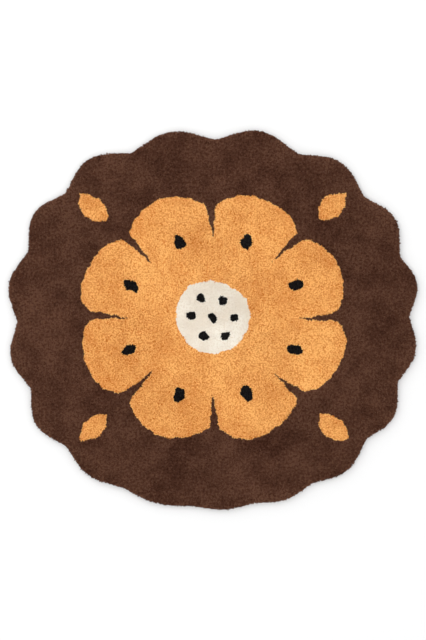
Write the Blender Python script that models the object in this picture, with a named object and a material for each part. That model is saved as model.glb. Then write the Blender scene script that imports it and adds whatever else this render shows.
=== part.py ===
"""A flat tufted rug for a child's room: an oval with a scalloped edge, lying on the floor.

The rug is one tufted cloth, so it is one solid. Its foot is the backing cloth with the turned hem, which
lies flat on the floor. The pile stands on it and bulges a little past the hem all round, and its top is as
gently uneven as walked-on pile. Metres, +Z up, +Y towards the top of the rug, origin under its middle.
"""

import math
from collections import namedtuple

import bmesh
import bpy
from mathutils import Vector

LENGTH = 1.10  # across, from crest to crest of the scallops, along X
WIDTH = 1.02  # from the bottom crest to the top crest, along Y
HEIGHT = 0.016  # backing and pile together, in the middle of the rug
BACKING = 0.0025  # the backing cloth with its turned hem
HEM_INSET = 0.0070  # how far the pile hides the hem, seen from above
SQUARENESS = 0.020  # how much fuller than a true oval the outline is towards its four corners
TRIANGLE = 0.010  # and how much fuller at the upper left, the upper right and the bottom
MEAN_RISE = 0.0295  # how far an ordinary crest stands out past the notches beside it
POINTS_A_SCALLOP = 11
SURFACE_RINGS = 11  # between the rounded edge and the middle of the rug

Scallop = namedtuple("Scallop", "span rise")  # each as a share of the mean one
SCALLOPS = (
    Scallop(span=0.90, rise=1.00),
    Scallop(span=0.98, rise=1.10),
    Scallop(span=1.10, rise=1.10),
    Scallop(span=1.18, rise=1.20),
    Scallop(span=1.18, rise=1.05),
    Scallop(span=1.08, rise=1.20),
    Scallop(span=0.98, rise=1.12),
    Scallop(span=1.05, rise=1.02),
    Scallop(span=1.00, rise=1.02),
    Scallop(span=0.98, rise=1.08),
    Scallop(span=0.98, rise=0.66),
    Scallop(span=1.00, rise=0.32),
    Scallop(span=0.86, rise=0.26),
    Scallop(span=0.84, rise=0.44),
    Scallop(span=0.98, rise=0.84),
    Scallop(span=0.95, rise=1.00),
    Scallop(span=0.98, rise=0.94),
)
FIRST_NOTCH_DEG = 1.5  # where the first scallop starts, counted from +X towards +Y
ROUNDNESS = 0.42  # 1 makes each scallop a bow with a sharp notch, 0 makes the edge a plain wave

EdgeRow = namedtuple("EdgeRow", "inset height")  # how far inside the outline, and how high
EDGE = (
    EdgeRow(inset=HEM_INSET, height=0.0),
    EdgeRow(inset=0.94 * HEM_INSET, height=BACKING),
    EdgeRow(inset=0.0022, height=BACKING + 0.0013),
    EdgeRow(inset=0.0, height=0.0078),
    EdgeRow(inset=0.0013, height=0.0113),
    EdgeRow(inset=0.0042, height=0.0140),
    EdgeRow(inset=0.0095, height=0.0155),
)

Wave = namedtuple("Wave", "length heading height")  # metres, degrees, metres
WAVES = (
    Wave(length=0.310, heading=25, height=0.00050),
    Wave(length=0.190, heading=112, height=0.00035),
    Wave(length=0.135, heading=64, height=0.00025),
)
FLAT_MARGIN = 0.05  # the waves of the surface fade out over this much of the rug's edge


def bump(along):
    """How far out a scallop stands at a place along it, from 0 at either notch to 1 at its crest."""
    across = 2 * along - 1
    bow = 1 - across**2
    wave = math.cos(0.5 * math.pi * across) ** 2
    return ROUNDNESS * bow + (1 - ROUNDNESS) * wave


def outline():
    """The points of the scalloped outline, in order round the rug."""
    spans = sum(scallop.span for scallop in SCALLOPS)
    start = math.radians(FIRST_NOTCH_DEG)
    points = []
    for scallop in SCALLOPS:
        turn = 2 * math.pi * scallop.span / spans
        for step in range(POINTS_A_SCALLOP):
            along = step / POINTS_A_SCALLOP
            angle = start + along * turn
            fullness = 1 + SQUARENESS * math.sin(2 * angle) ** 2 + TRIANGLE * math.sin(3 * angle)
            on_oval = Vector((0.5 * LENGTH * math.cos(angle), 0.5 * WIDTH * math.sin(angle))) * fullness
            outwards = Vector((WIDTH * math.cos(angle), LENGTH * math.sin(angle))).normalized()
            points.append(on_oval + outwards * MEAN_RISE * scallop.rise * bump(along))
        start += turn
    return fitted(points)


def fitted(points):
    """The points moved and sized so that their box is LENGTH by WIDTH, with its middle at the origin."""
    low = Vector((min(p.x for p in points), min(p.y for p in points)))
    high = Vector((max(p.x for p in points), max(p.y for p in points)))
    middle = (low + high) / 2
    size = high - low
    return [Vector(((p.x - middle.x) * LENGTH / size.x, (p.y - middle.y) * WIDTH / size.y)) for p in points]


def outward_normals(points):
    """The outward direction at each point of the outline."""
    normals = []
    for before, after in zip(points[-1:] + points[:-1], points[1:] + points[:1]):
        along = after - before
        normals.append(Vector((along.y, -along.x)).normalized())
    return normals


def surface_height(place, edge_distance):
    """How high the pile stands at a place: level at the rounded edge, and gently wavy further in."""
    swell = 0.0
    for wave in WAVES:
        heading = math.radians(wave.heading)
        travel = place.x * math.cos(heading) + place.y * math.sin(heading)
        swell += wave.height * math.sin(2 * math.pi * travel / wave.length)
    ease = min(1.0, edge_distance / FLAT_MARGIN)
    last = EDGE[-1].height
    return last + (HEIGHT - last + swell) * ease * ease * (3 - 2 * ease)


def rings():
    """The rug's closed rings of points, from the foot of the hem, round the edge and in over the pile."""
    rim = outline()
    normals = outward_normals(rim)
    for row in EDGE:
        yield [(p - n * row.inset).to_3d() + Vector((0, 0, row.height)) for p, n in zip(rim, normals)]
    shoulder = [p - n * EDGE[-1].inset for p, n in zip(rim, normals)]
    for ring in range(1, SURFACE_RINGS):
        share = 1 - ring / SURFACE_RINGS
        level = []
        for p in shoulder:
            place = p * share
            level.append(place.to_3d() + Vector((0, 0, surface_height(place, (p - place).length))))
        yield level


def rug_mesh():
    """The closed mesh of the rug: its edge section carried round the outline, ring by ring."""
    bm = bmesh.new()
    place_of = bm.verts.layers.int.new("place")
    count = len(SCALLOPS) * POINTS_A_SCALLOP
    first = bmesh.ops.create_circle(bm, cap_ends=False, segments=count, radius=1)["verts"]
    bm.verts.ensure_lookup_table()
    for place, vertex in enumerate(first):
        vertex[place_of] = place
    edges = list(bm.edges)
    foot = list(edges)
    for number, ring in enumerate(rings()):
        if number:
            grown = bmesh.ops.extrude_edge_only(bm, edges=edges)["geom"]
            edges = [item for item in grown if isinstance(item, bmesh.types.BMEdge)]
        for vertex in {v for edge in edges for v in edge.verts}:
            vertex.co = ring[vertex[place_of]]
    middle = Vector((0, 0, surface_height(Vector((0, 0)), WIDTH / 2)))
    grown = bmesh.ops.extrude_edge_only(bm, edges=edges)["geom"]
    last = [item for item in grown if isinstance(item, bmesh.types.BMVert)]
    bmesh.ops.pointmerge(bm, verts=last, merge_co=middle)
    bmesh.ops.edgeloop_fill(bm, edges=foot)
    bmesh.ops.recalc_face_normals(bm, faces=bm.faces)
    mesh = bpy.data.meshes.new("tufted_rug")
    bm.to_mesh(mesh)
    bm.free()
    return mesh


def cotton_pile():
    """Dark brown cotton pile, the colour of the rug's ground."""
    material = bpy.data.materials.new("cotton_pile")
    material.use_nodes = True
    shader = material.node_tree.nodes["Principled BSDF"]
    shader.inputs["Base Color"].default_value = (0.085, 0.036, 0.022, 1)
    shader.inputs["Roughness"].default_value = 0.95
    shader.inputs["Metallic"].default_value = 0.0
    return material


def main():
    for old in list(bpy.data.objects):
        bpy.data.objects.remove(old)
    collection = bpy.data.collections.new("kids_rug")
    bpy.context.scene.collection.children.link(collection)
    mesh = rug_mesh()
    mesh.materials.append(cotton_pile())
    mesh.shade_smooth()
    mesh.set_sharp_from_angle(angle=math.radians(40))
    collection.objects.link(bpy.data.objects.new("tufted_rug", mesh))


main()
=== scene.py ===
"""Looks of a tufted kids rug: short cotton pile in four colours on a woven backing with a turned hem.

The rug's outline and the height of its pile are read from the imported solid. Geometry Nodes stand a yarn end
on every stitch of the tufting rows and sew the hem. The flower on the rug is worked out by flower(), which
serves both the colour of each yarn end and the material of the close-packed pile below them.
"""

import math
from collections import namedtuple

import bmesh
import bpy
import numpy as np
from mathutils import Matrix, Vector, noise
from mathutils.bvhtree import BVHTree


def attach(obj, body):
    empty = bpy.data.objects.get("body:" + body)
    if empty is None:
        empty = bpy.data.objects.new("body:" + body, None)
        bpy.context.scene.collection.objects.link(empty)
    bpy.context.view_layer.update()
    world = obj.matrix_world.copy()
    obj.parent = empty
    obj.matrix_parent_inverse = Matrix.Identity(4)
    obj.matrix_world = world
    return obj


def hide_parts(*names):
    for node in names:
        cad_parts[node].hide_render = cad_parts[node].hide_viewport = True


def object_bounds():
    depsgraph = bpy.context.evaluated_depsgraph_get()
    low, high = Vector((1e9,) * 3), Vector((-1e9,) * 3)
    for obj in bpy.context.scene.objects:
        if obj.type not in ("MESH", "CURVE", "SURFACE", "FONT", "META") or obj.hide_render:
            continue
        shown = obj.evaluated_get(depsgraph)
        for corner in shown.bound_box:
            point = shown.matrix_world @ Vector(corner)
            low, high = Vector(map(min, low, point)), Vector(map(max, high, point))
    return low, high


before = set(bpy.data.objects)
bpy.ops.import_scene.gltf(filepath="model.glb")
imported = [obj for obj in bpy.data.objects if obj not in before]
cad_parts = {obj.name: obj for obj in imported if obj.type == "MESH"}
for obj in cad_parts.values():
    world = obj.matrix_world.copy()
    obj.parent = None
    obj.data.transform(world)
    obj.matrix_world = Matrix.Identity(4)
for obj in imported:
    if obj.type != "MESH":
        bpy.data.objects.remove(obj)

CAD_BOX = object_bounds()
RUG = "tufted_rug"
LENGTH = (CAD_BOX[1] - CAD_BOX[0]).x

# The photo: its height and the rug's length in it, in pixels, and a lens for it, in millimetres
PHOTO_HEIGHT = 640
RUG_IN_PHOTO = 410
LENS = 60.0
SENSOR = 36.0

# The light and the floor, in metres and watts
SKY_STRENGTH = 1.287
KEY_PLACE = (-1.9, 1.9, 1.9)
KEY_SIZE = 1.6
KEY_POWER = 24
FLOOR_SIZE = 400
FLOOR_SHADE = 0.742
FLOOR_LEVEL = -0.0006  # just clear of the hem's stitches

# The cloth, in metres
WIDEST = 0.0078  # the height at which the solid's edge stands out furthest
BACKING = 0.0025
BACKING_MIDDLE = 0.6  # the innermost ring of the backing's underside, as a share of the outline
BACKING_LIFT = 0.0001  # how far that ring lies above the floor
GROUND_TOP = 0.0118  # how high the pile is too close-packed to see into
HEM_INSET = 0.0070  # how far inside the outline the hem is folded, where the pile hides it from above
HEM_WIDTH = 0.024
HEM_STEP = 0.0009  # how far the hem lifts the cloth beside it
HEM_STITCH = 0.0045  # from one stitch to the next
STITCH_LINE = 0.0035  # from the hem's inner end to its stitches
STITCH_SINK = 0.00005  # how far below the hem the middle of a stitch lies
STITCH_RADII = (0.42 * HEM_STITCH, 0.0005, 0.00035)
SHARP_ANGLE = math.radians(50)
SAME_PLACE = 1e-5  # points closer together than this are one

# The tufting, in metres
ROW_SPACING = 0.0056
ROW_RUN = 0.060  # how long a row keeps to one shade
STITCH_SPACING = 0.0056
ENDS_A_STITCH = 4
FILL_END_SIDES = 4
END_OFFSET = 0.0020  # from the stitch to each of its yarn ends
END_GIRTH = 0.0024  # radius of a yarn end where it blooms
END_BLOOM = 0.78  # how far up its length a yarn end is at its widest
GIRTH_SPREAD = 0.22  # how much wider or narrower a yarn end can be, as a share of its girth
RANDOM_LEAN = 0.10  # how far a yarn end leans by itself, as a share of its length
RIM_END_SPACING = 0.0031
RIM_END_SIDES = 7
RIM_END_GIRTH = 0.0021
RIM_END_BLOOM = 0.82
RIM_STOP_WANDER = 0.15  # how unevenly the ends follow each other, as a share of their spacing
RIM_LENGTH_WANDER = 0.05  # how uneven in length they are, as a share of it
RIM_WANDER = 0.0011  # how far their tips stray
RIM_LOWEST = 0.0031  # so that no end along the edge reaches into the floor
STITCH_WANDER = 0.0013  # how far a stitch strays from its place in the row
UNEVEN_STITCHES = 0.00045  # how uneven in height the stitches are
UNEVEN_ENDS = 0.00035  # and the ends of one stitch
NAP_LEAN = 0.0022  # how far the tips lean together
NAP_PATCH = 0.085  # how far apart they lean in different directions
LEAN_WANDER = 0.0004  # how much the lean differs from one stitch to the next
RIM_LEAN = 0.0045  # how far the straight rows nearest to the edge lean outwards
RIM_LEAN_REACH = 0.012
SEED = 7

RimRow = namedtuple("RimRow", "root_inset tip_inset tip_height")
RIM_ROWS = (
    RimRow(root_inset=0.0120, tip_inset=0.0030, tip_height=0.0028),
    RimRow(root_inset=0.0130, tip_inset=0.0012, tip_height=0.0052),
    RimRow(root_inset=0.0135, tip_inset=0.0008, tip_height=0.0080),
    RimRow(root_inset=0.0140, tip_inset=0.0016, tip_height=0.0107),
    RimRow(root_inset=0.0150, tip_inset=0.0042, tip_height=0.0132),
    RimRow(root_inset=0.0165, tip_inset=0.0082, tip_height=0.0151),
    RimRow(root_inset=0.0185, tip_inset=0.0128, tip_height=0.0159),
)
FILL_INSET = 0.0186  # how far inside the outline the straight rows end

# The flower, in metres, and the waver of its outlines
Wave = namedtuple("Wave", "reach length")
WAVER = (
    Wave(reach=0.0040, length=0.230),
    Wave(reach=0.0014, length=0.041),
    Wave(reach=0.0008, length=0.023),
)
WAVER_SLANTS = (0.6, 0.5)  # the waves along X and along Y aren't square to each other
WAVER_SHIFT = 1.0  # nor in step, by this many radians
FLOWER_CENTRE = (0.0, 0.008)
FLOWER_STRETCH = (1.05, 0.96)
PETALS = 8
PETAL_TIP = 0.352  # radii of the petals' tips, of the notches between them, and of the slits' inner ends
PETAL_NOTCH = 0.278
SLIT_START = 0.215
SLIT_WIDTH = 0.016
SEED_MARK_RADIUS = 0.230
SEED_MARK_LENGTH = 0.042
SEED_MARK_WIDTH = 0.028
CENTRE_RADIUS = 0.098
DOTS = 6
DOT_RING = 0.058
DOT_RADIUS = 0.0120
LEAVES = 4
LEAF_RADIUS = 0.432
LEAF_LENGTH = 0.104
LEAF_WIDTH = 0.056

# How many pieces each yarn is made in, its deepest and its palest colour, and how strongly wide patches,
# small mottles and single ends move it from the one to the other
Yarn = namedtuple("Yarn", "name parts deep pale patchy mottled flecked")
YARNS = (
    Yarn("brown_pile", 3, (0.044, 0.0133, 0.0065), (0.138, 0.0615, 0.036), 1.3, 1.7, 0.95),
    Yarn("orange_pile", 2, (0.57, 0.168, 0.019), (0.97, 0.57, 0.196), 0.75, 0.0, 1.28),
    Yarn("cream_pile", 1, (0.76, 0.67, 0.56), (0.89, 0.84, 0.75), 1.4, 0.2, 0.4),
    Yarn("black_pile", 1, (0.0015, 0.001, 0.001), (0.0145, 0.013, 0.013), 1.0, 1.2, 1.5),
)
USUAL_PALENESS = 0.6  # where an ordinary yarn end is between its yarn's deepest and palest colour
GROUND_SHADE_PALENESS = 0.32  # and where the close-packed pile below the tips is, deeper than usual as painted shade
# the few quite deep yarn ends are painted shade where the pile parts; the rest is the yarn's random tone
TONE_SKEW = 0.4  # below 1, most yarn ends are a little pale and a few are quite deep
STITCH_BALANCE = 0.6  # how far the ends of one stitch make up for each other's tones
ROW_WEIGHT = 0.2  # how much a yarn end's row adds to its own tone
WIDE_PATCH = 0.20  # sizes of the patches, in metres
MIDDLING_PATCH = 0.045
MOTTLE = 0.0070
WIDE_WEIGHT = 0.8  # and how strong the larger two are beside each other
MIDDLING_WEIGHT = 0.95

# The canvas and the thread
CANVAS_COLOUR = (0.76, 0.67, 0.52)
THREAD_COLOUR = (0.80, 0.73, 0.60)
WEAVE_PITCH = 0.0018  # from one thread of the canvas to the next
WEAVE_DEPTH = 0.0005
WEAVE_DIP = 0.4  # how much lower a thread is at the sides of the one that it crosses
PAINTED_GROOVE_SHADE = 0.22  # how much darker the canvas is painted between its threads, as shade
SLUB = 0.012  # size of its thicker and thinner places
SLUB_SHADE = 0.18
THREAD_SHADES = (0.85, 0.3)  # the darkest, and how much is added for the palest

# Fine relief of the materials: the size of its grain, how many finer grains it holds, and its depth
Relief = namedtuple("Relief", "size detail depth")
FIBRES = Relief(size=0.0010, detail=3.0, depth=0.0007)
PACKED_ENDS = Relief(size=0.0030, detail=2.0, depth=0.0015)
THREAD_PLIES = Relief(size=0.0008, detail=1.0, depth=0.0002)


class Value:
    """A number, vector or colour that varies over a surface. Arithmetic on it adds Math nodes."""

    FUNCTIONS = {
        np.sqrt: "SQRT",
        np.absolute: "ABSOLUTE",
        np.maximum: "MAXIMUM",
        np.arctan2: "ARCTAN2",
        np.sin: "SINE",
        np.floor: "FLOOR",
    }

    def __init__(self, nodes, socket):
        self.nodes = nodes
        self.socket = socket

    def math(self, operation, *terms):
        """The result of a Math node on some values and numbers."""
        inputs = dict(enumerate(terms))
        return self.nodes.node("ShaderNodeMath", {"operation": operation}, inputs)

    def __array_ufunc__(self, function, method, *terms):
        return self.math(self.FUNCTIONS[function], *terms)

    def __add__(self, other):
        return self.math("ADD", self, other)

    def __radd__(self, other):
        return self.math("ADD", other, self)

    def __sub__(self, other):
        return self.math("SUBTRACT", self, other)

    def __rsub__(self, other):
        return self.math("SUBTRACT", other, self)

    def __mul__(self, other):
        return self.math("MULTIPLY", self, other)

    def __rmul__(self, other):
        return self.math("MULTIPLY", other, self)

    def __truediv__(self, other):
        return self.math("DIVIDE", self, other)

    def __rtruediv__(self, other):
        return self.math("DIVIDE", other, self)

    def __mod__(self, other):
        return self.math("FLOORED_MODULO", self, other)

    def __rmod__(self, other):
        return self.math("FLOORED_MODULO", other, self)

    def __lt__(self, other):
        return self.math("LESS_THAN", self, other)

    def __gt__(self, other):
        return self.math("GREATER_THAN", self, other)


class Nodes:
    """A node tree that is being built."""

    def __init__(self, tree):
        self.tree = tree

    def node(self, kind, settings=None, inputs=None, output=0):
        """Adds a node of a type, sets its settings and then its sockets, and returns one of its outputs."""
        made = self.tree.nodes.new(kind)
        for name, setting in (settings or {}).items():
            setattr(made, name, setting)
        for name, value in (inputs or {}).items():
            self.feed(self.pick(made.inputs, name), value)
        return Value(self, self.pick(made.outputs, output))

    def pick(self, sockets, name):
        """The socket of that number or name, leaving out those that the node's settings switch off."""
        if isinstance(name, int):
            return sockets[name]
        return next(socket for socket in sockets if socket.name == name and socket.enabled)

    def feed(self, socket, value):
        """Links a value to a socket, or sets the socket to a plain number, colour or name."""
        if isinstance(value, Value):
            self.tree.links.new(value.socket, socket)
        else:
            socket.default_value = value


class Finish(Nodes):
    """A material that is being built around one Principled shader."""

    def __init__(self, name):
        self.material = bpy.data.materials.new(name)
        self.material.use_nodes = True
        super().__init__(self.material.node_tree)
        self.shader = self.tree.nodes["Principled BSDF"]

    def set(self, **sockets):
        """Sets or links sockets of the shader, such as Base_Color and Roughness."""
        for name, value in sockets.items():
            self.feed(self.shader.inputs[name.replace("_", " ")], value)

    def place(self):
        """Where a point of the piece lies, in metres, as a vector."""
        return self.node("ShaderNodeTexCoord", output="Object")

    def xyz(self, vector):
        """The three numbers of a vector."""
        return [self.node("ShaderNodeSeparateXYZ", None, {0: vector}, axis) for axis in range(3)]

    def patches(self, place, size, detail=1.0):
        """Soft random patches of about a size, between 0 and 1."""
        inputs = {"Vector": place, "Scale": 1 / size, "Detail": detail, "Roughness": 0.55}
        return self.node("ShaderNodeTexNoise", None, inputs, "Fac")

    def mix(self, share, first, second):
        """A colour between two colours."""
        inputs = {"Factor": share, "A": first, "B": second}
        return self.node("ShaderNodeMix", {"data_type": "RGBA"}, inputs, "Result")

    def shaded(self, colour, shade):
        """A colour made lighter or darker by a value around 1."""
        return self.node("ShaderNodeVectorMath", {"operation": "SCALE"}, {"Vector": colour, "Scale": shade})

    def bumped(self, height, depth):
        """Sets the shader's normal to a relief of some real depth."""
        self.set(Normal=self.node("ShaderNodeBump", None, {"Height": height, "Distance": depth}))

    def grained(self, relief):
        """Sets the shader's normal to a random relief."""
        self.bumped(self.patches(self.place(), relief.size, relief.detail), relief.depth)


class Recipe(Nodes):
    """A Geometry Nodes tree that is being built, and the modifier that runs it."""

    def __init__(self, name):
        super().__init__(bpy.data.node_groups.new(name, "GeometryNodeTree"))
        self.source = self.tree.nodes.new("NodeGroupInput")
        self.values = {}

    def input(self, name, kind, value=None):
        """Adds a named input of a kind, such as Float, with its value on the modifier."""
        item = self.tree.interface.new_socket(name, in_out="INPUT", socket_type="NodeSocket" + kind)
        if value is not None:
            self.values[item.identifier] = value
        return Value(self, self.source.outputs[name])

    def attribute(self, name, kind):
        """A named attribute of the points that the tree works on."""
        return self.node("GeometryNodeInputNamedAttribute", {"data_type": kind}, {"Name": name}, "Attribute")

    def random(self, kind, low, high, seed):
        """A random number or vector for each point."""
        inputs = {"Min": low, "Max": high, "Seed": seed}
        return self.node("FunctionNodeRandomValue", {"data_type": kind}, inputs, "Value")

    def made_real(self, instances, material):
        """Ends the tree: the instances become one mesh with that material."""
        real = self.node("GeometryNodeRealizeInstances", None, {"Geometry": instances})
        finished = self.node("GeometryNodeSetMaterial", None, {"Geometry": real, "Material": material})
        self.tree.interface.new_socket("Result", in_out="OUTPUT", socket_type="NodeSocketGeometry")
        self.feed(self.tree.nodes.new("NodeGroupOutput").inputs[0], finished)

    def run(self, name, base):
        """The plain mesh piece that the tree makes from a base mesh, which is used up."""
        carrier = bpy.data.objects.new(name + "_base", base)
        bpy.context.scene.collection.objects.link(carrier)
        modifier = carrier.modifiers.new("recipe", "NODES")
        modifier.node_group = self.tree
        for identifier, value in self.values.items():
            modifier[identifier] = value
        depsgraph = bpy.context.evaluated_depsgraph_get()
        mesh = bpy.data.meshes.new_from_object(carrier.evaluated_get(depsgraph))
        carrier.modifiers.remove(modifier)
        bpy.data.objects.remove(carrier)
        mesh.name = name
        return linked(name, mesh)


def linked(name, mesh):
    """A new object of the scene that shows a mesh."""
    piece = bpy.data.objects.new(name, mesh)
    bpy.context.scene.collection.objects.link(piece)
    return piece


def sector_turn(angle, copies):
    """How far an angle is from the middle of the nearest of some equal sectors, in turns of a sector."""
    return (angle * copies / math.tau + 0.5) % 1.0 - 0.5


def oval(along, across, length, width):
    """The mask of an oval of a length and a width."""
    return (2 * along / length) * (2 * along / length) + (2 * across / width) * (2 * across / width) < 1.0


def wavered(x, y):
    """A place moved a little to and fro, as a hand-guided tufting gun wavers."""
    for wave in WAVER:
        turn = math.tau / wave.length
        moved_x = x + wave.reach * np.sin(turn * (y + WAVER_SLANTS[0] * x))
        moved_y = y + wave.reach * np.sin(turn * (x - WAVER_SLANTS[1] * y) + WAVER_SHIFT)
        x, y = moved_x, moved_y
    return x, y


def flower(x, y):
    """The masks of the orange, the cream and the black pile at a place. Each lies on top of the one before.

    It works on arrays of numbers and on a material's values alike.
    """
    x, y = wavered(x, y)
    x = (x - FLOWER_CENTRE[0]) / FLOWER_STRETCH[0]
    y = (y - FLOWER_CENTRE[1]) / FLOWER_STRETCH[1]
    radius = np.sqrt(x * x + y * y)
    angle = np.arctan2(y, x)

    turn = sector_turn(angle + math.pi / PETALS, PETALS)
    bow = np.sqrt(np.maximum(1 - 4 * turn * turn, 0.0))
    petals = radius < PETAL_NOTCH + (PETAL_TIP - PETAL_NOTCH) * bow
    from_notch = (0.5 - np.absolute(turn)) * radius * (math.tau / PETALS)
    slit_half_width = (radius - SLIT_START) * (0.5 * SLIT_WIDTH / (PETAL_NOTCH - SLIT_START))
    slits = from_notch < slit_half_width

    leaf_turn = sector_turn(angle + math.pi / LEAVES, LEAVES)
    leaf_along = (radius - LEAF_RADIUS) * (2 / LEAF_LENGTH)
    leaf_across = np.absolute(leaf_turn) * radius * (math.tau / LEAVES)
    leaves = leaf_across < (1 - leaf_along * leaf_along) * (0.5 * LEAF_WIDTH)

    mark_across = turn * radius * (math.tau / PETALS)
    marks = oval(radius - SEED_MARK_RADIUS, mark_across, SEED_MARK_LENGTH, SEED_MARK_WIDTH)
    dot_across = sector_turn(angle, DOTS) * radius * (math.tau / DOTS)
    dots = oval(radius - DOT_RING, dot_across, 2 * DOT_RADIUS, 2 * DOT_RADIUS)
    orange = np.maximum(petals * (1 - slits), leaves)
    cream = radius < CENTRE_RADIUS
    black = np.maximum(np.maximum(marks, dots), radius < DOT_RADIUS)
    return orange, cream, black


def outline_of(node):
    """The rug's outline seen from above: the ring of its solid that stands out furthest, in order."""
    corners = np.array([v.co for v in node.data.vertices])
    ring = np.unique(corners[np.abs(corners[:, 2] - WIDEST) < SAME_PLACE, :2].round(6), axis=0)
    return ring[np.argsort(np.arctan2(ring[:, 1], ring[:, 0]))]


def outward_normals(outline):
    """The outward direction at each point of the outline."""
    along = np.roll(outline, -1, axis=0) - np.roll(outline, 1, axis=0)
    normals = np.stack([along[:, 1], -along[:, 0]], axis=1)
    return normals / np.linalg.norm(normals, axis=1, keepdims=True)


def inset_ring(outline, inset, height):
    """The outline moved inwards and up, as points in space."""
    moved = outline - outward_normals(outline) * inset
    return np.column_stack([moved, np.full(len(moved), height)])


def edge_distances(places, outline):
    """How far each place lies from the rug's outline, and below zero outside it."""
    nearest = np.full(len(places), np.inf)
    for start, end in zip(outline, np.roll(outline, -1, axis=0)):
        side = end - start
        along = np.clip((places - start) @ side / (side @ side), 0, 1)
        nearest = np.minimum(nearest, np.linalg.norm(places - start - along[:, None] * side, axis=1))
    reach = np.interp(
        np.arctan2(places[:, 1], places[:, 0]),
        np.arctan2(outline[:, 1], outline[:, 0]),
        np.hypot(outline[:, 0], outline[:, 1]),
        period=math.tau,
    )
    return np.where(np.hypot(places[:, 0], places[:, 1]) < reach, nearest, -nearest)


def ring_solid(name, rings):
    """A closed piece from rings of points, the first and the last of which are closed to their middle."""
    bm = bmesh.new()
    loops = [[bm.verts.new(point) for point in ring] for ring in rings]
    for lower, upper in zip(loops, loops[1:]):
        for a, b, c, d in zip(lower, lower[1:] + lower[:1], upper[1:] + upper[:1], upper):
            bm.faces.new((a, b, c, d))
    for loop in (loops[0], loops[-1]):
        middle = bm.verts.new(sum((v.co for v in loop), Vector()) / len(loop))
        for a, b in zip(loop, loop[1:] + loop[:1]):
            bm.faces.new((a, b, middle))
    bmesh.ops.recalc_face_normals(bm, faces=bm.faces)
    mesh = bpy.data.meshes.new(name)
    bm.to_mesh(mesh)
    bm.free()
    mesh.shade_smooth()
    mesh.set_sharp_from_angle(angle=SHARP_ANGLE)
    return linked(name, mesh)


Row = namedtuple("Row", "inset height")


def backing_cloth(outline):
    """The woven backing, with the hem turned under it along the outline."""
    hem_end = HEM_INSET + HEM_WIDTH
    rows = (
        Row(inset=hem_end + 0.018, height=0.0002),
        Row(inset=hem_end + 0.006, height=0.6 * HEM_STEP),
        Row(inset=hem_end + 0.0008, height=HEM_STEP),
        Row(inset=hem_end, height=0.0),
        Row(inset=HEM_INSET + 0.0008, height=0.0),
        Row(inset=HEM_INSET, height=0.35 * BACKING),
        Row(inset=HEM_INSET, height=0.75 * BACKING),
        Row(inset=HEM_INSET + 0.0006, height=BACKING),
        Row(inset=hem_end, height=BACKING),
    )
    middle = np.column_stack([BACKING_MIDDLE * outline, np.full(len(outline), BACKING_LIFT)])
    return ring_solid("backing", [middle] + [inset_ring(outline, row.inset, row.height) for row in rows])


def packed_pile(outline):
    """The lower pile, so close-packed that it reads as one mass between the yarn ends, painted dark as shade.
    """
    rows = (
        Row(inset=HEM_INSET + 0.0012, height=0.97 * BACKING),
        Row(inset=0.0060, height=0.0036),
        Row(inset=0.0040, height=0.0058),
        Row(inset=0.0036, height=0.0078),
        Row(inset=0.0050, height=0.0098),
        Row(inset=0.0080, height=0.0110),
        Row(inset=0.0130, height=0.0116),
        Row(inset=0.0240, height=GROUND_TOP),
    )
    return ring_solid("pile_ground", [inset_ring(outline, row.inset, row.height) for row in rows])


def yarn_end(name, sides, bloom):
    """One cut yarn end of unit height and radius: a point at its root, a bloom near its top and a tip.

    It is a cone stood on its apex, with the middle of its base drawn up to the tip.
    """
    bm = bmesh.new()
    bmesh.ops.create_cone(bm, cap_ends=True, cap_tris=True, segments=sides, radius1=1, radius2=0, depth=1)
    bmesh.ops.remove_doubles(bm, verts=bm.verts, dist=SAME_PLACE)
    for vertex in bm.verts:
        if vertex.co.xy.length > 0.5:
            vertex.co.z = bloom
        else:
            vertex.co.z = 0.0 if vertex.co.z > 0 else 1.0
    bmesh.ops.recalc_face_normals(bm, faces=bm.faces)
    mesh = bpy.data.meshes.new(name)
    bm.to_mesh(mesh)
    bm.free()
    mesh.shade_smooth()
    return bpy.data.objects.new(name, mesh)


def tufting_recipe(end, girth, material):
    """Stands a yarn end on every stitch point, along the point's stand and as long as it."""
    recipe = Recipe("tufting")
    points = recipe.input("Stitches", "Geometry")
    shape = recipe.input("Yarn end", "Object", end)
    girth = recipe.input("Girth", "Float", girth)
    spread = recipe.input("Girth spread", "Float", GIRTH_SPREAD)
    wander = recipe.input("Random lean", "Float", RANDOM_LEAN)
    seed = recipe.input("Seed", "Int", SEED)
    yarn = recipe.input("Yarn", "Material", material)

    stand = recipe.attribute("stand", "FLOAT_VECTOR")
    reach = recipe.node("ShaderNodeVectorMath", {"operation": "LENGTH"}, {0: stand}, "Value")
    sideways = recipe.random("FLOAT_VECTOR", (-1, -1, 0), (1, 1, 0), seed)
    inputs = {"Vector": sideways, "Scale": wander * reach}
    push = recipe.node("ShaderNodeVectorMath", {"operation": "SCALE"}, inputs)
    leaning = recipe.node("ShaderNodeVectorMath", {"operation": "ADD"}, {0: stand, 1: push})
    upright = recipe.node("FunctionNodeAlignRotationToVector", {"axis": "Z"}, {"Vector": leaning})
    spin = recipe.random("FLOAT_VECTOR", (0, 0, 0), (0, 0, math.tau), seed + 1)
    spin = recipe.node("FunctionNodeEulerToRotation", None, {0: spin})
    turned = recipe.node(
        "FunctionNodeRotateRotation", {"rotation_space": "LOCAL"}, {"Rotation": upright, "Rotate By": spin}
    )
    width = girth * (1 + spread * recipe.random("FLOAT", -1.0, 1.0, seed + 2))
    depth = girth * (1 + spread * recipe.random("FLOAT", -1.0, 1.0, seed + 3))
    size = recipe.node("ShaderNodeCombineXYZ", None, {0: width, 1: depth, 2: reach})
    thing = recipe.node("GeometryNodeObjectInfo", None, {"Object": shape}, "Geometry")
    inputs = {"Points": points, "Instance": thing, "Rotation": turned, "Scale": size}
    recipe.made_real(recipe.node("GeometryNodeInstanceOnPoints", None, inputs), yarn)
    return recipe


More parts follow.
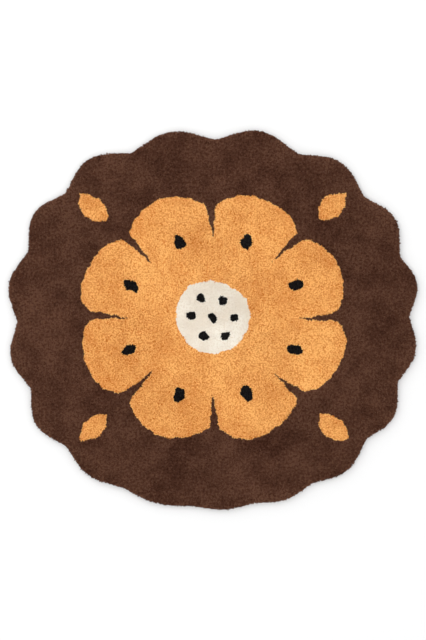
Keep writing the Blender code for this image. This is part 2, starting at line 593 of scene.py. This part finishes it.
def hem_recipe(stitch, material):
    """Lays a stitch along the hem line at every stitch length."""
    recipe = Recipe("hemming")
    line = recipe.input("Hem line", "Geometry")
    shape = recipe.input("Stitch", "Object", stitch)
    pitch = recipe.input("Stitch length", "Float", HEM_STITCH)
    thread = recipe.input("Thread", "Material", material)
    curve = recipe.node("GeometryNodeMeshToCurve", None, {"Mesh": line})
    evenly = recipe.node("GeometryNodeResampleCurve", {"mode": "LENGTH"}, {"Curve": curve, "Length": pitch})
    tangent = recipe.node("GeometryNodeInputTangent")
    along = recipe.node("FunctionNodeAlignRotationToVector", {"axis": "X"}, {"Vector": tangent})
    thing = recipe.node("GeometryNodeObjectInfo", None, {"Object": shape}, "Geometry")
    inputs = {"Points": evenly, "Instance": thing, "Rotation": along}
    recipe.made_real(recipe.node("GeometryNodeInstanceOnPoints", None, inputs), thread)
    return recipe


def surface_reader(node):
    """A function that tells how high the solid's top is above a place."""
    corners = [v.co for v in node.data.vertices]
    tree = BVHTree.FromPolygons(corners, [p.vertices for p in node.data.polygons])
    above = 2 * CAD_BOX[1].z

    def height(place):
        hit = tree.ray_cast(Vector((*place, above)), Vector((0, 0, -1)))
        return hit[0].z

    return height


def stops_round(ring, spacing, rng):
    """Where yarn ends stand round a closed ring: counted in its points, about a spacing apart."""
    steps = np.linalg.norm(np.roll(ring, -1, axis=0) - ring, axis=1)
    travelled = np.concatenate([[0], np.cumsum(steps)])
    stops = np.arange(0.5 * spacing, travelled[-1], spacing)
    stops = stops + rng.normal(0, RIM_STOP_WANDER * spacing, len(stops))
    return np.interp(stops, travelled, np.arange(len(travelled)))


def at_stops(ring, stops):
    """What a closed ring holds at stops that are counted in its points."""
    before = stops.astype(int)
    share = (stops - before)[:, None]
    return ring[before % len(ring)] * (1 - share) + ring[(before + 1) % len(ring)] * share


# Many yarn ends: where they start, where they stop and how pale they are
Ends = namedtuple("Ends", "roots tips tones")


def yarn_tones(rng, shape):
    """How pale each of some yarn ends is, around zero: most are a little pale, and the few quite deep ones
    are painted shade where the pile parts.
    """
    return rng.uniform(0, 1, shape) ** TONE_SKEW - 1 / (1 + TONE_SKEW)


def rim_ends(outline, rng):
    """The yarn ends in the rows that follow the outline and lean out over the hem."""
    roots, tips = [], []
    for row in RIM_ROWS:
        root_ring = inset_ring(outline, row.root_inset, BACKING)
        tip_ring = inset_ring(outline, row.tip_inset, row.tip_height)
        stops = stops_round(root_ring, RIM_END_SPACING, rng)
        root = at_stops(root_ring, stops)
        reach = at_stops(tip_ring, stops) - root
        reach = reach * rng.normal(1, RIM_LENGTH_WANDER, (len(stops), 1))
        roots.append(root)
        tips.append(root + reach + rng.normal(0, RIM_WANDER, root.shape))
    roots, tips = np.vstack(roots), np.vstack(tips)
    tips[:, 2] = np.maximum(tips[:, 2], RIM_LOWEST)
    return Ends(roots, tips, yarn_tones(rng, len(roots)))


def fill_stitches(outline, rng):
    """Places of the stitches in the straight rows that fill the rug inside its rim rows."""
    half = np.abs(outline).max(axis=0)
    across = np.arange(-half[0], half[0], ROW_SPACING)
    along = np.arange(-half[1], half[1], STITCH_SPACING)
    x, y = np.meshgrid(across, along, indexing="ij")
    y = y + rng.uniform(0, STITCH_SPACING, (len(across), 1))
    places = np.column_stack([x.ravel(), y.ravel()])
    places = places + rng.normal(0, STITCH_WANDER, places.shape)
    distances = edge_distances(places, outline)
    kept = distances > FILL_INSET
    return places[kept], distances[kept]


def fill_ends(outline, rng):
    """The yarn ends in the straight rows, and the place that each would have if it stood upright."""
    places, distances = fill_stitches(outline, rng)
    count = len(places)
    height = surface_reader(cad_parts[RUG])
    noise.seed_set(SEED)
    tops = np.array([height(place) for place in places]) + rng.normal(0, UNEVEN_STITCHES, count)
    nap = np.array([noise.noise_vector(Vector((*place, 0)) / NAP_PATCH)[:2] for place in places]) * NAP_LEAN
    outwards = places / np.linalg.norm(places, axis=1, keepdims=True)
    lean = nap + outwards * (RIM_LEAN * np.exp(-(distances - FILL_INSET) / RIM_LEAN_REACH))[:, None]
    lean = lean + rng.normal(0, LEAN_WANDER, lean.shape)
    first = rng.uniform(0, math.tau, count)
    tones = yarn_tones(rng, (ENDS_A_STITCH, count))
    tones = tones - STITCH_BALANCE * tones.mean(axis=0)
    roots, tips, stands = [], [], []
    for number in range(ENDS_A_STITCH):
        turn = first + number * math.tau / ENDS_A_STITCH
        offset = END_OFFSET * np.column_stack([np.cos(turn), np.sin(turn)])
        tip_height = tops + rng.normal(0, UNEVEN_ENDS, count)
        roots.append(np.column_stack([places + 0.5 * offset, np.full(count, BACKING)]))
        tips.append(np.column_stack([places + offset + lean, tip_height]))
        stands.append(places + offset)
    return Ends(np.vstack(roots), np.vstack(tips), tones.ravel()), np.vstack(stands)


def stitch_points(name, ends):
    """A mesh of loose points, one at each root, with what the tufting and the yarn's finish read."""
    mesh = bpy.data.meshes.new(name)
    mesh.vertices.add(len(ends.roots))
    mesh.vertices.foreach_set("co", ends.roots.astype(np.float32).ravel())
    stand = mesh.attributes.new("stand", "FLOAT_VECTOR", "POINT")
    stand.data.foreach_set("vector", (ends.tips - ends.roots).astype(np.float32).ravel())
    tone = mesh.attributes.new("tone", "FLOAT", "POINT")
    tone.data.foreach_set("value", ends.tones.astype(np.float32))
    return mesh


def mapped_from_above(piece):
    """Gives a pile piece a UV map that looks straight down on it, so each yarn end keeps its colour."""
    mesh = piece.data
    corners = np.empty(len(mesh.vertices) * 3, np.float32)
    mesh.vertices.foreach_get("co", corners)
    plan = corners.reshape(-1, 3)[:, :2]
    low, high = plan.min(axis=0), plan.max(axis=0)
    loops = np.empty(len(mesh.loops), np.int32)
    mesh.loops.foreach_get("vertex_index", loops)
    layer = mesh.uv_layers.new(name="OFBake")
    layer.uv.foreach_set("vector", ((plan - low) / (high - low))[loops].ravel())


def fill_pile(outline, rng, finishes):
    """The straight rows of the whole rug, as pieces of one yarn each and small enough to handle."""
    ends, stands = fill_ends(outline, rng)
    yarn_of = np.zeros(len(stands), int)
    for number, mask in enumerate(flower(stands[:, 0], stands[:, 1]), start=1):
        yarn_of = np.where(mask > 0, number, yarn_of)
    from_left = np.argsort(stands[:, 0], kind="stable")
    shape = yarn_end("fill_end", FILL_END_SIDES, END_BLOOM)
    pieces = []
    for number, yarn in enumerate(YARNS):
        recipe = tufting_recipe(shape, END_GIRTH, finishes[number])
        mine = from_left[yarn_of[from_left] == number]
        for part, chosen in enumerate(np.array_split(mine, yarn.parts), start=1):
            name = yarn.name if yarn.parts == 1 else f"{yarn.name}_{part}"
            piece = recipe.run(name, stitch_points(name, Ends(*(values[chosen] for values in ends))))
            pieces.append((piece, yarn.name))
    bpy.data.objects.remove(shape)
    return pieces


def rim_pile(outline, rng, finish):
    """The rows along the edge, as one piece of the brown yarn."""
    shape = yarn_end("rim_end", RIM_END_SIDES, RIM_END_BLOOM)
    recipe = tufting_recipe(shape, RIM_END_GIRTH, finish)
    piece = recipe.run("brown_rim_pile", stitch_points("brown_rim_pile", rim_ends(outline, rng)))
    bpy.data.objects.remove(shape)
    return piece, YARNS[0].name


def pile(outline):
    """The yarn ends of the whole rug, each piece with the slot that it goes in."""
    rng = np.random.default_rng(SEED)
    finishes = [yarn_finish(yarn) for yarn in YARNS]
    pieces = [rim_pile(outline, rng, finishes[0]), *fill_pile(outline, rng, finishes)]
    for piece, _ in pieces:
        mapped_from_above(piece)
    return pieces


def paleness(finish, place, yarn):
    """How much paler than usual a yarn's pile is at a place, by wide patches and by small mottles: partly
    random dye tone, partly painted shade where the nap leans different ways.
    """
    wide = finish.patches(place, WIDE_PATCH)
    middling = finish.patches(place, MIDDLING_PATCH)
    mottles = finish.patches(place, MOTTLE)
    patches = WIDE_WEIGHT * (wide - 0.5) + MIDDLING_WEIGHT * (middling - 0.5)
    return yarn.patchy * patches + yarn.mottled * (mottles - 0.5)


def row_shades(finish, place):
    """How each row of the tufting differs from the next in shade."""
    along_rows = (1 / ROW_SPACING, 1 / ROW_RUN, 0)
    stretched = finish.node("ShaderNodeVectorMath", {"operation": "MULTIPLY"}, {0: place, 1: along_rows})
    return finish.patches(stretched, 1.0) - 0.5


def yarn_finish(yarn):
    """Dyed cotton yarn, each end a little paler or deeper in colour than the next, with fibres in relief."""
    finish = Finish(yarn.name)
    place = finish.place()
    tone = finish.node("ShaderNodeAttribute", {"attribute_name": "tone"}, None, "Fac")
    of_its_own = tone + ROW_WEIGHT * row_shades(finish, place)
    share = USUAL_PALENESS + paleness(finish, place, yarn) + yarn.flecked * of_its_own
    finish.set(Base_Color=finish.mix(share, (*yarn.deep, 1), (*yarn.pale, 1)), Roughness=0.95)
    finish.set(Sheen_Weight=0.10, Sheen_Roughness=0.5, Sheen_Tint=(*yarn.pale, 1), Specular_IOR_Level=0.1)
    finish.grained(FIBRES)
    return finish.material


def shaded_ground_colour(yarn):
    """The colour of a yarn just below its tips, darkened as painted shade between them."""
    return [deep + GROUND_SHADE_PALENESS * (pale - deep) for deep, pale in zip(yarn.deep, yarn.pale)] + [1]


def ground_finish():
    """The close-packed pile just below the tips, in the flower's colours darkened as painted shade."""
    finish = Finish("pile_ground")
    x, y, _ = finish.xyz(finish.place())
    colour = shaded_ground_colour(YARNS[0])
    for mask, yarn in zip(flower(x, y), YARNS[1:]):
        colour = finish.mix(mask, colour, shaded_ground_colour(yarn))
    finish.set(Base_Color=colour, Roughness=0.95, Specular_IOR_Level=0.1)
    finish.grained(PACKED_ENDS)
    return finish.material


def canvas_finish():
    """Undyed cotton canvas in plain weave, warp over weft and weft over warp, with painted shade between its
    threads.
    """
    finish = Finish("canvas")
    place = finish.place()
    x, y, _ = finish.xyz(place)
    warp = x / WEAVE_PITCH
    weft = y / WEAVE_PITCH
    over = (np.floor(warp) + np.floor(weft)) % 2.0
    warp_round = np.absolute(np.sin(warp * math.pi))
    weft_round = np.absolute(np.sin(weft * math.pi))
    warp_up = warp_round * ((1 - WEAVE_DIP) + WEAVE_DIP * weft_round)
    weft_up = weft_round * ((1 - WEAVE_DIP) + WEAVE_DIP * warp_round)
    relief = over * warp_up + (1 - over) * weft_up
    slubs = finish.patches(place, SLUB, detail=2.0)
    # painted shade: darker where the relief is low, between the threads; the slubs are the cloth's own
    # unevenness
    shade = (1 - PAINTED_GROOVE_SHADE) + PAINTED_GROOVE_SHADE * relief + SLUB_SHADE * (slubs - 0.5)
    finish.set(Base_Color=finish.shaded(CANVAS_COLOUR, shade), Roughness=0.9, Specular_IOR_Level=0.2)
    finish.bumped(relief, WEAVE_DEPTH)
    return finish.material


def thread_finish():
    """Sewing thread, a little uneven in shade and in relief where its plies twist."""
    finish = Finish("thread")
    plies = finish.patches(finish.place(), THREAD_PLIES.size, THREAD_PLIES.detail)
    darkest, added = THREAD_SHADES
    finish.set(Base_Color=finish.shaded(THREAD_COLOUR, darkest + added * plies), Roughness=0.8)
    finish.bumped(plies, THREAD_PLIES.depth)
    return finish.material


def hem_stitches(outline):
    """The row of stitches that holds the turned hem, seen on the underside."""
    ring = inset_ring(outline, HEM_INSET + HEM_WIDTH - STITCH_LINE, -STITCH_SINK)
    count = len(ring)
    line = bpy.data.meshes.new("hem_line")
    line.from_pydata(ring.tolist(), [(i, (i + 1) % count) for i in range(count)], [])
    bm = bmesh.new()
    bmesh.ops.create_uvsphere(bm, u_segments=6, v_segments=4, radius=1.0)
    bmesh.ops.scale(bm, vec=STITCH_RADII, verts=bm.verts)
    mesh = bpy.data.meshes.new("hem_stitch")
    bm.to_mesh(mesh)
    bm.free()
    mesh.shade_smooth()
    stitch = bpy.data.objects.new("hem_stitch", mesh)
    piece = hem_recipe(stitch, thread_finish()).run("hem_stitching", line)
    bpy.data.objects.remove(stitch)
    return piece


def floor():
    """The plain pale floor."""
    bpy.ops.mesh.primitive_plane_add(size=FLOOR_SIZE, location=(0, 0, FLOOR_LEVEL))
    piece = bpy.context.object
    piece.name = "floor"
    finish = Finish("floor")
    finish.set(Base_Color=(FLOOR_SHADE, FLOOR_SHADE, FLOOR_SHADE, 1), Roughness=0.9, Specular_IOR_Level=0.1)
    piece.data.materials.append(finish.material)


def area_light(name, place, size, power):
    """A soft square light that faces the rug."""
    lamp = bpy.data.lights.new(name, "AREA")
    lamp.size = size
    lamp.energy = power
    light = bpy.data.objects.new(name, lamp)
    light.location = place
    light.rotation_euler = (-Vector(place)).to_track_quat("-Z", "Y").to_euler()
    bpy.context.scene.collection.objects.link(light)


def studio():
    """Soft white light from all round, and a little more of it from the upper left of the photo."""
    world = bpy.data.worlds.new("studio")
    world.use_nodes = True
    background = world.node_tree.nodes["Background"]
    background.inputs["Color"].default_value = (1, 1, 1, 1)
    background.inputs["Strength"].default_value = SKY_STRENGTH
    bpy.context.scene.world = world
    area_light("key", KEY_PLACE, KEY_SIZE, KEY_POWER)
    bpy.context.scene.view_settings.view_transform = "Standard"


def photo_camera():
    """The photo's camera, straight above the rug."""
    pixel = LENGTH / RUG_IN_PHOTO
    camera = bpy.data.cameras.new("photo")
    camera.lens = LENS
    camera.sensor_width = SENSOR
    eye = bpy.data.objects.new("photo", camera)
    eye.location = (0, 0, WIDEST + PHOTO_HEIGHT * pixel * LENS / SENSOR)
    bpy.context.scene.collection.objects.link(eye)
    bpy.context.scene.camera = eye


def declare_sheet(outline):
    """Works out the area inside the rug's outline."""
    x, y = outline.T
    area = 0.5 * abs(np.dot(x, np.roll(y, 1)) - np.dot(y, np.roll(x, 1)))


def main():
    photo_camera()
    studio()
    floor()
    outline = outline_of(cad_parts[RUG])
    backing = backing_cloth(outline)
    backing.data.materials.append(canvas_finish())
    ground = packed_pile(outline)
    ground.data.materials.append(ground_finish())
    stitching = hem_stitches(outline)
    ends = pile(outline)
    slots = [(backing, "backing_cloth"), (ground, "brown_pile"), (stitching, "backing_cloth"), *ends]
    for piece, slot in slots:
        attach(piece, "root")
        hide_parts(RUG)
    declare_sheet(outline)


main()
